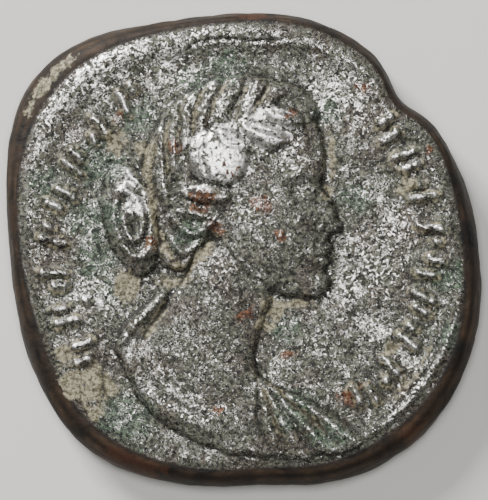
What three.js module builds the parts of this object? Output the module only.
// A struck bronze coin of the Roman imperial kind, about 31 mm across and lying on its reverse.
// One solid: an irregular cast flan whose edge was hammered nearly square, with a woman's draped bust to the
// right in relief on top, a worn standing figure underneath, and rows of short strokes where the legends ran.
// Millimetres, +X to the bust's right, +Y to its crown, +Z up. The origin is under the middle of the coin.
import * as THREE from "three";
import { ConvexHull } from "three/addons/math/ConvexHull.js";

// ---- Flan: a round blank with four corners and one bite, angles in degrees anticlockwise from +X ----
const FLAN_RADIUS = 14.75;
const FLAN_LOBES = [
  { at: 139, reach: 2.6, spread: 27 },
  { at: 231, reach: 1.4, spread: 27 },
  { at: 276, reach: -0.35, spread: 11 },
  { at: 315, reach: 1.8, spread: 39 },
  { at: 72, reach: 0.7, spread: 25 },
  { at: 44, reach: -0.9, spread: 8 },
];
const OBVERSE_BEVEL = 0.55; // how far the struck face stops short of the widest outline
const OBVERSE_BEVEL_LOBES = [
  { at: 139, reach: 0.9, spread: 22 },
  { at: 228, reach: 0.9, spread: 42 },
  { at: 310, reach: 0.9, spread: 36 },
  { at: 2, reach: 0.45, spread: 22 },
];
const REVERSE_BEVEL = 0.7;
const GIRTH_HEIGHT = 1.85; // where the edge is widest
const EDGE_ROWS = 5;

// ---- Levels of the two faces ----
const FIELD_HEIGHT = 3.4;
const SHOULDER_HEIGHT = 3.42; // the obverse where it turns over into the edge
const RIM_RISE = 0.14;
const RIM_RISE_LOBES = [{ at: 110, reach: 0.2, spread: 70 }]; // least worn along the top
const REVERSE_RECESS = 0.42; // the reverse field lies this far above the table
const REVERSE_TURN = 0.12; // the rise of the reverse where it turns over into the edge

// ---- Mesh: rows of points follow every carved line, then more go wherever the facets miss the carving ----
const EDGE_COLUMNS = 112;
const LINE_SPACING = 2; // between the points of a row, in steps of the row's reach
const LINE_SPACING_MOST = 0.65;
const POINT_GAP = 0.17; // no two points of a face lie closer than this
const LEAST_BEND = 0.035; // a row's point is left out where the surface bends less than this
const FILL_SPACING = 1.5;
const OBVERSE_TOLERANCE = 0.05;
const REVERSE_TOLERANCE = 0.07;
const REFINING_PASSES = 6;

// ---- Head: proportions are shares of the height from chin to crown, forward and up from the chin ----
const HEAD_HEIGHT = 13.4;
const CHIN_LEVEL = -3.0;
const FACE_PLANE = 5.4;
const HEAD_RISE = 0.85;
const STEP_WIDTH = 0.35; // the slope that ends every raised form

const radians = THREE.MathUtils.degToRad;
const smooth = THREE.MathUtils.smoothstep;

// Sum of the lobes at an angle: each is a smooth swelling round its own direction.
function lobes(list, angle) {
  const degrees = THREE.MathUtils.radToDeg(angle);
  return list.reduce((sum, lobe) => {
    const turn = THREE.MathUtils.euclideanModulo(degrees - lobe.at + 180, 360) - 180;
    return sum + lobe.reach * Math.exp(-((turn / lobe.spread) ** 2));
  }, 0);
}
const girthRadius = (angle) => FLAN_RADIUS + lobes(FLAN_LOBES, angle);
const obverseBevel = (angle) => OBVERSE_BEVEL + lobes(OBVERSE_BEVEL_LOBES, angle);

// ---- Carving tools ----

// A smooth line through a few points, as a list of [x, y].
function line(points, steps = 12, closed = false) {
  const through = points.map(([x, y]) => new THREE.Vector3(x, y, 0));
  const curve = new THREE.CatmullRomCurve3(through, closed, "centripetal");
  return curve.getPoints(steps).map((p) => [p.x, p.y]);
}

const onHead = ([forward, up]) => [
  FACE_PLANE + forward * HEAD_HEIGHT,
  CHIN_LEVEL + up * HEAD_HEIGHT,
];

// Distance from a point to a path, and how far along the path the nearest place is, from 0 to 1.
function nearest(path, x, y) {
  let best = Infinity;
  let along = 0;
  for (let i = 0; i + 1 < path.length; i++) {
    const [ax, ay] = path[i];
    const dx = path[i + 1][0] - ax;
    const dy = path[i + 1][1] - ay;
    const t = THREE.MathUtils.clamp(((x - ax) * dx + (y - ay) * dy) / (dx * dx + dy * dy), 0, 1);
    const distance = Math.hypot(x - ax - t * dx, y - ay - t * dy);
    if (distance < best) {
      best = distance;
      along = (i + t) / (path.length - 1);
    }
  }
  return [best, along];
}

// Distance inside a closed outline, or 0 outside it.
function depthInside(outline, x, y) {
  let inside = false;
  for (let i = 0, j = outline.length - 1; i < outline.length; j = i++) {
    const [ax, ay] = outline[i];
    const [bx, by] = outline[j];
    if (ay > y !== by > y && x < ax + ((bx - ax) * (y - ay)) / (by - ay)) inside = !inside;
  }
  return inside ? nearest(outline, x, y)[0] : 0;
}

// Height of a rounded form at a depth inside its outline: a soft shoulder, level beyond its reach.
function swell(depth, rise, reach) {
  return rise * (1 - (1 - Math.min(depth / reach, 1)) ** 2);
}

// One pull of the graver or the punch: a ridge (rise above 0) or groove (below 0) that fades at its ends.
const stroke = (path, width, rise, fade = 0.15) => ({ path, width, rise, fade });

// Where strokes overlap, the highest ridge and the deepest groove count, so neighbouring locks meet in a crease.
function strokeRelief(strokes, x, y) {
  let ridge = 0;
  let groove = 0;
  for (const { path, width, rise, fade, box } of strokes) {
    if (x < box[0] || x > box[1] || y < box[2] || y > box[3]) continue;
    const [distance, along] = nearest(path, x, y);
    const ends = Math.min(smooth(along, -fade, fade), smooth(1 - along, -fade, fade));
    const height = rise * ends * Math.exp(-((distance / width) ** 2));
    ridge = Math.max(ridge, height);
    groove = Math.min(groove, height);
  }
  return ridge + groove;
}

// Gives each stroke the box outside which it can't be felt.
function withBoxes(strokes) {
  for (const cut of strokes) {
    const reach = 2.2 * cut.width;
    const xs = cut.path.map((p) => p[0]);
    const ys = cut.path.map((p) => p[1]);
    cut.box = [Math.min(...xs) - reach, Math.max(...xs) + reach];
    cut.box.push(Math.min(...ys) - reach, Math.max(...ys) + reach);
  }
  return strokes;
}

// A soft mound or hollow.
function mound([cx, cy], [rx, ry], rise, x, y) {
  return rise * Math.exp(-(((x - cx) / rx) ** 2) - ((y - cy) / ry) ** 2);
}

// ---- Head ----
const HEAD_OUTLINE = line(
  [
    [-0.2, 0.985], [-0.075, 0.88], [-0.014, 0.775], [0.0, 0.67], [-0.002, 0.6], [-0.02, 0.548],
    [0.03, 0.44], [0.084, 0.338], [0.068, 0.306], [0.014, 0.287], [0.032, 0.24], [0.008, 0.208],
    [0.024, 0.174], [-0.002, 0.132], [0.014, 0.068], [-0.016, 0.01], [-0.08, -0.008], [-0.25, 0.03],
    [-0.38, 0.1], [-0.47, 0.22], [-0.62, 0.36], [-0.8, 0.6], [-0.72, 0.86], [-0.46, 0.99],
  ].map(onHead),
  140,
  true,
);
const EYE = [-0.088, 0.497];
const FACE_STROKES = withBoxes([
  stroke(line([[-0.19, 0.562], [-0.12, 0.602], [-0.035, 0.586]].map(onHead)), 0.34, 0.12),
  stroke(line([[-0.14, 0.494], [-0.09, 0.527], [-0.048, 0.512]].map(onHead)), 0.2, 0.12),
  stroke(line([[-0.132, 0.485], [-0.09, 0.468], [-0.054, 0.48]].map(onHead)), 0.18, 0.07),
  stroke(line([[0.012, 0.208], [-0.03, 0.205], [-0.058, 0.196]].map(onHead)), 0.15, -0.13),
  stroke(line([[0.026, 0.234], [-0.012, 0.225], [-0.05, 0.207]].map(onHead)), 0.2, 0.09),
  stroke(line([[0.018, 0.178], [-0.012, 0.182], [-0.046, 0.196]].map(onHead)), 0.22, 0.09),
  stroke(line([[-0.01, 0.302], [-0.014, 0.33], [0.008, 0.352]].map(onHead)), 0.16, -0.1),
]);
const FACE_MOUNDS = [
  { at: [-0.1, 0.505], size: [0.075, 0.055], rise: -0.26 }, // eye socket
  { at: EYE, size: [0.034, 0.027], rise: 0.17 },
  { at: [0.02, 0.32], size: [0.03, 0.022], rise: 0.1 }, // wing of the nose
  { at: [-0.18, 0.33], size: [0.13, 0.12], rise: 0.12 }, // cheek
  { at: [-0.03, 0.06], size: [0.05, 0.05], rise: 0.1 }, // chin
];

// ---- Hair: a roll in swelling waves, the crown combed down to it, loops at the nape, a coiled bun ----
const HAIR_OUTLINE = line(
  [
    [4.9, 8.7], [4.2, 10.0], [2.6, 10.9], [0.4, 11.3], [-2.2, 10.9], [-4.6, 9.4], [-6.1, 7.0], [-6.4, 4.2],
    [-5.8, 1.4], [-5.4, -0.6], [-4.2, -1.3], [-3.0, -0.6], [-2.1, 1.0], [-1.4, 2.4], [-0.3, 3.7], [0.8, 4.9],
    [1.8, 6.0], [3.3, 7.0],
  ],
  90,
  true,
);
const ROLL_WAVES = [
  { at: [2.7, 8.5], radii: [1.4, 0.75], lean: -18 },
  { at: [1.4, 7.3], radii: [1.75, 0.8], lean: -20 },
  { at: [-1.5, 6.0], radii: [2.0, 1.9] },
  { at: [-2.3, 3.6], radii: [1.7, 0.7], lean: -4 },
  { at: [-3.2, 2.3], radii: [1.4, 0.5], lean: -12 },
];
const CROWN = { at: [-0.2, 5.0], radii: [6.3, 6.3] };
const CROWN_ENDS = line([[1.4, 9.3], [-0.4, 8.4], [-2.5, 7.8], [-3.8, 6.0], [-4.6, 3.8], [-5.7, 2.2]], 30);
const CROWN_LOCKS = 8;
const BUN = { at: [-7.1, 2.0], radii: [1.85, 3.8], lean: 12 };
const BUN_RISE = 0.75;
const BUN_TURNS = 2.2;

// A point of an oval: at a turn round its middle, share being the way out to its rim.
function ovalPoint({ at, radii, lean = 0 }, turn, share) {
  const across = radii[0] * share * Math.cos(turn);
  const along = radii[1] * share * Math.sin(turn);
  const tilt = radians(lean);
  return [
    at[0] + across * Math.cos(tilt) - along * Math.sin(tilt),
    at[1] + across * Math.sin(tilt) + along * Math.cos(tilt),
  ];
}

const ovalOutline = (oval) => Array.from({ length: 49 }, (_, k) => ovalPoint(oval, (2 * Math.PI * k) / 48, 1));

// A lock combed from the top of the head down to the roll or, behind the ear, to the nape.
function crownLock(k) {
  const share = k / (CROWN_LOCKS - 1);
  const start = ovalPoint(CROWN, radians(62 + 98 * share), 0.95);
  const end = CROWN_ENDS[Math.round(share * (CROWN_ENDS.length - 1))];
  const middle = [(start[0] + end[0]) / 2 - 0.1 - 0.25 * share, (start[1] + end[1]) / 2 + 0.1];
  return line([start, middle, end], 8);
}

// A loop of hair that hangs at the nape, each below the last.
function hangingLoop(k) {
  const drop = 1.15 * k;
  return line([[-4.2 - 0.25 * k, 3.2 - drop], [-2.8 - 0.4 * k, 2.2 - drop], [-1.0 - 0.7 * k, 3.1 - drop]], 8);
}

// The bun's rim, and its coil: an oval spiral from its middle nearly out to its rim.
const BUN_OUTLINE = ovalOutline(BUN);
const BUN_COIL = Array.from({ length: 37 }, (_, k) => {
  return ovalPoint(BUN, (2 * Math.PI * BUN_TURNS * k) / 36, 0.1 + (0.7 * k) / 36);
});

const HAIR_STROKES = withBoxes([
  ...Array.from({ length: CROWN_LOCKS }, (_, k) => stroke(crownLock(k), 0.42, 0.32, 0.1)),
  ...[1, 2, 3].map((k) => stroke(hangingLoop(k), 0.34, 0.3)),
]);
const WAVE_OUTLINES = ROLL_WAVES.map(ovalOutline);
const BUN_STROKES = withBoxes([stroke(BUN_COIL, 0.3, 0.3, 0.05)]);

// ---- Neck, shoulders and dress ----
const NECK_OUTLINE = line(
  [
    [1.9, -2.2], [1.3, -4.4], [0.9, -6.6], [1.2, -8.6], [-0.5, -10.6], [-4.5, -9.6], [-7.4, -6.8],
    [-6.3, -4.8], [-4.8, -3.2], [-3.7, -1.6], [-2.8, 0.4], [0.4, 0.6],
  ],
  60,
  true,
);
const BUST_OUTLINE = line(
  [
    [-4.9, -2.4], [-6.7, -3.8], [-8.0, -5.5], [-8.0, -6.9], [-6.9, -9.0], [-5.2, -11.0], [-2.6, -12.5],
    [1.0, -13.2], [4.8, -13.2], [7.6, -12.4], [7.0, -11.2], [4.6, -9.6], [2.2, -8.7], [0.9, -7.8],
    [-2.0, -8.4], [-4.6, -6.6], [-4.4, -4.0],
  ],
  70,
  true,
);
const DRESS_GATHER = [1.0, -8.0];
const DRESS_FOLDS = 5;

// A fold that fans out from the gather at the throat to the hem of the bust.
function dressFold(k) {
  const share = k / (DRESS_FOLDS - 1);
  const hem = [6.9 - 6.2 * share, -12.0 - 1.1 * Math.sin(Math.PI * share)];
  const middle = [
    THREE.MathUtils.lerp(DRESS_GATHER[0], hem[0], 0.5) - 0.25,
    THREE.MathUtils.lerp(DRESS_GATHER[1], hem[1], 0.5) + 0.45,
  ];
  return line([DRESS_GATHER, middle, hem], 8);
}

const DRESS_STROKES = withBoxes([
  ...Array.from({ length: DRESS_FOLDS }, (_, k) => stroke(dressFold(k), 0.32, 0.26 - 0.03 * k, 0.2)),
  stroke(line([[-4.9, -2.8], [-6.5, -4.3], [-7.8, -6.0]]), 0.3, 0.26), // hem of the dress along the shoulder
  stroke(line([[-4.7, -3.5], [-5.7, -4.6], [-6.5, -5.8]]), 0.28, -0.2), // hollow between the hem and the neck
  stroke(line([[-7.6, -6.6], [-6.5, -8.7], [-4.6, -10.5], [-1.8, -11.6]]), 0.45, 0.2), // edge of the mantle
  stroke(line([[-6.2, -7.0], [-4.8, -8.8], [-2.4, -10.2]]), 0.4, 0.12),
]);
const NECK_STROKES = withBoxes([
  stroke(line([[-1.4, -0.8], [-0.8, -4.0], [0.2, -7.2]]), 0.7, 0.1), // muscle from the ear to the throat
]);

// ---- Legends and borders ----

// Leaning dashes that stand for one worn letter, as [across, up] at each end: side by side, never touching.
const LETTER_MARKS = [
  [[-0.55, -0.95, -0.25, 0.8], [0.4, -0.5, 0.62, 0.7]],
  [[-0.6, -0.3, -0.4, 0.9], [0.3, -0.95, 0.55, 0.45]],
  [[-0.3, -0.85, 0.02, 0.9], [0.72, 0.1, 0.82, 0.6]],
  [[-0.7, -0.6, -0.55, 0.2], [0.1, -0.9, 0.42, 0.85]],
];
const LETTER_WIDTH = 0.28;
const LETTER_RISE = 0.3;

function legendRow(from, to, count, radius, rise = LETTER_RISE) {
  const strokes = [];
  for (let k = 0; k < count; k++) {
    const angle = radians(from + ((to - from) * k) / (count - 1));
    const out = [Math.cos(angle), Math.sin(angle)];
    const place = ([across, up]) => [
      out[0] * (radius + up) + out[1] * across,
      out[1] * (radius + up) - out[0] * across,
    ];
    for (const [ax, ay, bx, by] of LETTER_MARKS[(k * 3 + 1) % LETTER_MARKS.length]) {
      strokes.push(stroke([place([ax, ay]), place([bx, by])], LETTER_WIDTH, rise, 0.1));
    }
  }
  return strokes;
}

const LEGEND_STROKES = withBoxes([...legendRow(212, 128, 8, 12.1), ...legendRow(40, -50, 9, 12.0)]);
const BORDER = { at: [0.5, -0.2], radius: 13.8, width: 0.26 };
const BORDER_LOBES = [{ at: -8, reach: 0.2, spread: 62 }]; // what wear has left of the beaded circle

// ---- The two faces: height above the table at a point, m being its share of the way out to the edge ----

// A raised form at a depth inside its outline: a steep step, then a rounded rise.
function form(depth, step, rise, reach) {
  return depth > 0 ? step * smooth(depth, 0, STEP_WIDTH) + swell(depth, rise, reach) : 0;
}

function bustRelief(x, y) {
  const bust = depthInside(BUST_OUTLINE, x, y);
  const neck = depthInside(NECK_OUTLINE, x, y);
  const head = depthInside(HEAD_OUTLINE, x, y);
  const hair = depthInside(HAIR_OUTLINE, x, y);
  const bun = depthInside(BUN_OUTLINE, x, y);
  const faded = (depth) => smooth(depth, 0, STEP_WIDTH);
  let relief = Math.max(form(bust, 0.25, 0.3, 2.6), form(neck, 0.2, 0.4, 2.2));
  relief += strokeRelief(DRESS_STROKES, x, y) * faded(Math.max(bust, neck));
  relief += strokeRelief(NECK_STROKES, x, y) * faded(neck);
  if (head > 0) {
    relief = Math.max(relief + 0.18 * faded(head), form(head, 0.3, HEAD_RISE - 0.3, 3.6));
    const features = FACE_MOUNDS.reduce((sum, { at, size, rise }) => {
      return sum + mound(onHead(at), size.map((s) => s * HEAD_HEIGHT), rise, x, y);
    }, strokeRelief(FACE_STROKES, x, y));
    relief += features * faded(head);
  }
  if (hair > 0) {
    relief = Math.max(relief + 0.14 * faded(hair), form(hair, 0.3, HEAD_RISE - 0.35, 3.0));
    const waves = WAVE_OUTLINES.map((outline) => form(depthInside(outline, x, y), 0.1, 0.26, 1.1));
    relief += (Math.max(strokeRelief(HAIR_STROKES, x, y), ...waves) - 0.1) * faded(hair);
  }
  if (bun > 0) {
    const coil = (strokeRelief(BUN_STROKES, x, y) - 0.1) * faded(bun);
    relief = Math.max(relief, form(bun, 0.3, BUN_RISE - 0.3, 1.8) + coil);
  }
  return relief;
}

function obverseHeight(x, y, m) {
  const angle = Math.atan2(y, x);
  const field = FIELD_HEIGHT + 0.05 * Math.sin(0.55 * x + 0.9) * Math.cos(0.45 * y - 0.4);
  const rim = (RIM_RISE + lobes(RIM_RISE_LOBES, angle)) * smooth(m, 0.84, 0.95);
  const offBorder = Math.hypot(x - BORDER.at[0], y - BORDER.at[1]) - BORDER.radius;
  const border = lobes(BORDER_LOBES, angle) * Math.exp(-((offBorder / BORDER.width) ** 2));
  const carving = bustRelief(x, y) + strokeRelief(LEGEND_STROKES, x, y) + border;
  const inner = 1 - smooth(m, 0.95, 1);
  return THREE.MathUtils.lerp(SHOULDER_HEIGHT, field + rim + carving, inner);
}

// ---- The reverse: a draped figure with a sceptre beside an altar, x mirrored as it is seen from below ----
const FIGURE_RISE = 0.6; // more than the recess: wear has levelled the figure's high places with the rim
const FIGURE_OUTLINE = line(
  [
    [-0.5, 5.6], [-1.5, 5.2], [-1.9, 4.0], [-1.3, 2.4], [-1.2, 1.4], [-1.8, -0.4], [-2.0, -3.6], [-2.9, -8.7],
    [0, -9.1], [2.8, -8.7], [2.2, -3.6], [1.9, -0.4], [1.2, 1.4], [1.3, 2.4], [1.9, 4.0], [1.5, 5.2], [0.5, 5.6],
  ],
  60,
  true,
);
const FIGURE_HEAD = line([[0, 5.6], [-1.0, 6.3], [-1.0, 7.6], [0, 8.4], [1.0, 7.6], [1.0, 6.3]], 24, true);
const ALTAR_OUTLINE = line(
  [[-6.6, -9.0], [-5.4, -9.1], [-4.2, -9.0], [-4.6, -6.6], [-4.1, -5.4], [-6.7, -5.4], [-6.2, -6.6]],
  36,
  true,
);
const FIGURE_FORMS = [FIGURE_OUTLINE, FIGURE_HEAD, ALTAR_OUTLINE];
const SKIRT_FOLDS = [-1.5, -0.5, 0.5, 1.5].map((foot) => {
  return stroke(line([[0.5 * foot, -1.6], [0.8 * foot, -4.6], [1.1 * foot, -8.2]]), 0.26, -0.26);
});
const FIGURE_STROKES = withBoxes([
  stroke(line([[-1.4, 4.5], [-3.2, 2.6], [-5.2, 2.0]]), 0.6, 0.34), // arm held out over the altar
  stroke(line([[1.5, 4.5], [3.2, 3.1], [4.2, 4.6]]), 0.55, 0.34), // arm that holds the sceptre
  stroke([[4.4, -9.0], [4.4, 8.6]], 0.32, 0.3, 0.02),
  stroke([[-7.6, -9.9], [7.6, -9.9]], 0.3, 0.26, 0.02), // ground line
  stroke(line([[-1.7, 1.9], [0, 1.2], [1.7, 1.9]]), 0.3, -0.24), // girdle
  ...SKIRT_FOLDS,
  ...legendRow(218, 125, 9, 11.4, 0.26),
  ...legendRow(50, -36, 9, 11.4, 0.26),
]);

function reverseHeight(x, y, m) {
  const face = -x;
  const rises = FIGURE_FORMS.map((outline) => form(depthInside(outline, face, y), 0.25, FIGURE_RISE - 0.25, 1.1));
  const forms = Math.max(...rises);
  const carving = forms + strokeRelief(FIGURE_STROKES, face, y);
  const field = REVERSE_RECESS - Math.min(carving, REVERSE_RECESS) * (1 - smooth(m, 0.82, 0.86));
  return field * (1 - smooth(m, 0.84, 0.9)) + REVERSE_TURN * smooth(m, 0.965, 1);
}

// ---- Building the solid ----

// A place on a face: m is its share of the way out to the face's edge. disc is the same place on a round face.
function onFace(edgeRadius, x, y) {
  const angle = Math.atan2(y, x);
  const m = Math.hypot(x, y) / edgeRadius(angle);
  return { x, y, m, disc: [m * FLAN_RADIUS * Math.cos(angle), m * FLAN_RADIUS * Math.sin(angle)] };
}

// Three rows of points along a path and past its ends: on it and a step to each side, where the surface bends.
function rowsAlong({ path, reach }, bendAt) {
  const curve = new THREE.CurvePath();
  const corners = path.map(([x, y]) => new THREE.Vector2(x, y));
  const [first, second] = corners;
  const [last, beforeLast] = [corners.at(-1), corners.at(-2)];
  if (first.distanceTo(last) > reach) {
    corners.unshift(first.clone().addScaledVector(first.clone().sub(second).normalize(), reach));
    corners.push(last.clone().addScaledVector(last.clone().sub(beforeLast).normalize(), reach));
  }
  for (let i = 0; i + 1 < corners.length; i++) curve.add(new THREE.LineCurve(corners[i], corners[i + 1]));
  const spacing = Math.min(LINE_SPACING * reach, LINE_SPACING_MOST);
  const count = Math.max(Math.round(curve.getLength() / spacing), 3);
  const points = [];
  for (let k = 0; k <= count; k++) {
    const at = curve.getPointAt(k / count);
    const ahead = curve.getTangentAt(Math.min(Math.max(k / count, 1e-3), 1 - 1e-3));
    for (const side of [0, -reach, reach]) {
      const [x, y] = [at.x - ahead.y * side, at.y + ahead.x * side];
      if (bendAt(x, y, reach) > LEAST_BEND) points.push([x, y]);
    }
  }
  return points;
}

// Delaunay triangles: the underside of the convex hull of the points raised onto a paraboloid.
function triangulate(places) {
  const raised = places.map(({ disc: [u, v] }) => new THREE.Vector3(u, v, u * u + v * v));
  const lid = new THREE.Vector3(0, 0, 1e4);
  const index = new Map(raised.map((point, k) => [point, k]));
  const triangles = [];
  for (const face of new ConvexHull().setFromPoints([...raised, lid]).faces) {
    const corners = [face.edge, face.edge.next, face.edge.prev].map((edge) => index.get(edge.head().point));
    if (!corners.includes(undefined)) triangles.push(corners.reverse());
  }
  return triangles;
}

// The mesh of one face: its edge points come first, in order, then rings, rows along the carved lines and an
// even fill. Triangles are anticlockwise from above.
function meshFace({ edgeRadius, height, lines, rings, tolerance }) {
  const heightAt = (x, y) => height(x, y, onFace(edgeRadius, x, y).m);
  const bendAt = (x, y, reach) => {
    const bends = [0, 45, 90, 135].map(radians).map((turn) => {
      const [dx, dy] = [reach * Math.cos(turn), reach * Math.sin(turn)];
      return Math.abs(heightAt(x + dx, y + dy) + heightAt(x - dx, y - dy) - 2 * heightAt(x, y));
    });
    return Math.max(...bends);
  };
  const places = [];
  const addIfClear = (x, y, gap) => {
    const spot = onFace(edgeRadius, x, y);
    if (spot.m > 0.985) return;
    const near = (other) => Math.hypot(other.disc[0] - spot.disc[0], other.disc[1] - spot.disc[1]) < gap;
    if (!places.some(near)) places.push(spot);
  };
  for (let k = 0; k < EDGE_COLUMNS; k++) {
    const angle = (2 * Math.PI * k) / EDGE_COLUMNS;
    const r = edgeRadius(angle);
    places.push(onFace(edgeRadius, r * Math.cos(angle), r * Math.sin(angle)));
  }
  for (const m of rings) {
    for (let k = 0; k < EDGE_COLUMNS; k++) {
      const angle = (2 * Math.PI * (k + 0.5)) / EDGE_COLUMNS;
      const r = m * edgeRadius(angle);
      places.push(onFace(edgeRadius, r * Math.cos(angle), r * Math.sin(angle)));
    }
  }
  for (const cut of lines) {
    for (const [x, y] of rowsAlong(cut, bendAt)) addIfClear(x, y, POINT_GAP);
  }
  const rows = Math.ceil((2 * (FLAN_RADIUS + 3)) / FILL_SPACING);
  for (let j = 0; j <= rows; j++) {
    for (let i = 0; i <= rows; i++) {
      const x = (i - rows / 2 + (j % 2) / 2) * FILL_SPACING;
      addIfClear(x, (j - rows / 2) * FILL_SPACING * Math.sin(Math.PI / 3), 0.6 * FILL_SPACING);
    }
  }
  let triangles = triangulate(places);
  for (let pass = 0; pass < REFINING_PASSES; pass++) {
    for (const corners of triangles) {
      const [a, b, c] = corners.map((k) => places[k]);
      const [x, y] = [(a.x + b.x + c.x) / 3, (a.y + b.y + c.y) / 3];
      const flat = (height(a.x, a.y, a.m) + height(b.x, b.y, b.m) + height(c.x, c.y, c.m)) / 3;
      if (Math.abs(heightAt(x, y) - flat) > tolerance) addIfClear(x, y, POINT_GAP);
    }
    triangles = triangulate(places);
  }
  return { points: places.map(({ x, y, m }) => new THREE.Vector3(x, y, height(x, y, m))), triangles };
}

function circle([cx, cy], radius, steps = 100) {
  return Array.from({ length: steps + 1 }, (_, k) => {
    const turn = (2 * Math.PI * k) / steps;
    return [cx + radius * Math.cos(turn), cy + radius * Math.sin(turn)];
  });
}

const outlineRow = (outline) => ({ path: outline, reach: STEP_WIDTH });
const strokeRow = ({ path, width }) => ({ path, reach: 1.4 * width });

const OBVERSE = {
  edgeRadius: (angle) => girthRadius(angle) - obverseBevel(angle),
  height: obverseHeight,
  lines: [
    ...[HEAD_OUTLINE, HAIR_OUTLINE, ...WAVE_OUTLINES, BUN_OUTLINE, NECK_OUTLINE, BUST_OUTLINE].map(outlineRow),
    ...[FACE_STROKES, HAIR_STROKES, BUN_STROKES, DRESS_STROKES, LEGEND_STROKES].flat().map(strokeRow),
    strokeRow({ path: circle(BORDER.at, BORDER.radius), width: BORDER.width }),
  ],
  rings: [0.95, 0.84],
  tolerance: OBVERSE_TOLERANCE,
};
const REVERSE = {
  edgeRadius: (angle) => girthRadius(angle) - REVERSE_BEVEL,
  height: reverseHeight,
  lines: [...FIGURE_FORMS.map(outlineRow), ...FIGURE_STROKES.map(strokeRow)].map(({ path, reach }) => {
    return { path: path.map(([x, y]) => [-x, y]), reach };
  }),
  rings: [0.965, 0.9, 0.84],
  tolerance: REVERSE_TOLERANCE,
};

function coinGeometry() {
  const positions = [];
  const indices = [];
  const add = (p) => positions.push(p.x, p.y, p.z) / 3 - 1;
  const addFace = ({ points, triangles }, flip) => {
    const added = points.map(add);
    for (const [a, b, c] of triangles) indices.push(...(flip ? [a, c, b] : [a, b, c]).map((k) => added[k]));
    return added.slice(0, EDGE_COLUMNS);
  };
  const top = meshFace(OBVERSE);
  const bottom = meshFace(REVERSE);
  const topEdge = addFace(top, false);
  const bottomEdge = addFace(bottom, true);

  // The edge: a column of points under each point of the obverse's edge, along two quarters of an ellipse.
  const columns = topEdge.map((topIndex, k) => {
    const angle = (2 * Math.PI * k) / EDGE_COLUMNS;
    const widest = girthRadius(angle);
    const column = [topIndex];
    for (let row = 1; row < EDGE_ROWS; row++) {
      const turn = Math.PI * (row / EDGE_ROWS - 0.5);
      const end = row * 2 < EDGE_ROWS ? top.points[k] : bottom.points[k];
      const r = widest - (widest - Math.hypot(end.x, end.y)) * (1 - Math.cos(turn));
      const z = GIRTH_HEIGHT + (end.z - GIRTH_HEIGHT) * Math.abs(Math.sin(turn));
      column.push(add(new THREE.Vector3(r * Math.cos(angle), r * Math.sin(angle), z)));
    }
    return [...column, bottomEdge[k]];
  });
  columns.forEach((column, k) => {
    const next = columns[(k + 1) % columns.length];
    for (let row = 0; row < EDGE_ROWS; row++) {
      indices.push(column[row], column[row + 1], next[row]);
      indices.push(next[row], column[row + 1], next[row + 1]);
    }
  });

  const geometry = new THREE.BufferGeometry();
  geometry.setAttribute("position", new THREE.Float32BufferAttribute(positions, 3));
  geometry.setIndex(indices);
  geometry.computeBoundingBox();
  const middle = geometry.boundingBox.getCenter(new THREE.Vector3());
  geometry.translate(-middle.x, -middle.y, 0);
  geometry.computeVertexNormals();
  return geometry;
}

const patinatedBronze = new THREE.MeshStandardMaterial({ color: 0x55544c, roughness: 0.5, metalness: 0.6 });
const coin = new THREE.Mesh(coinGeometry(), patinatedBronze);
coin.name = "coin";

const group = new THREE.Group();
group.add(coin);
export default group;
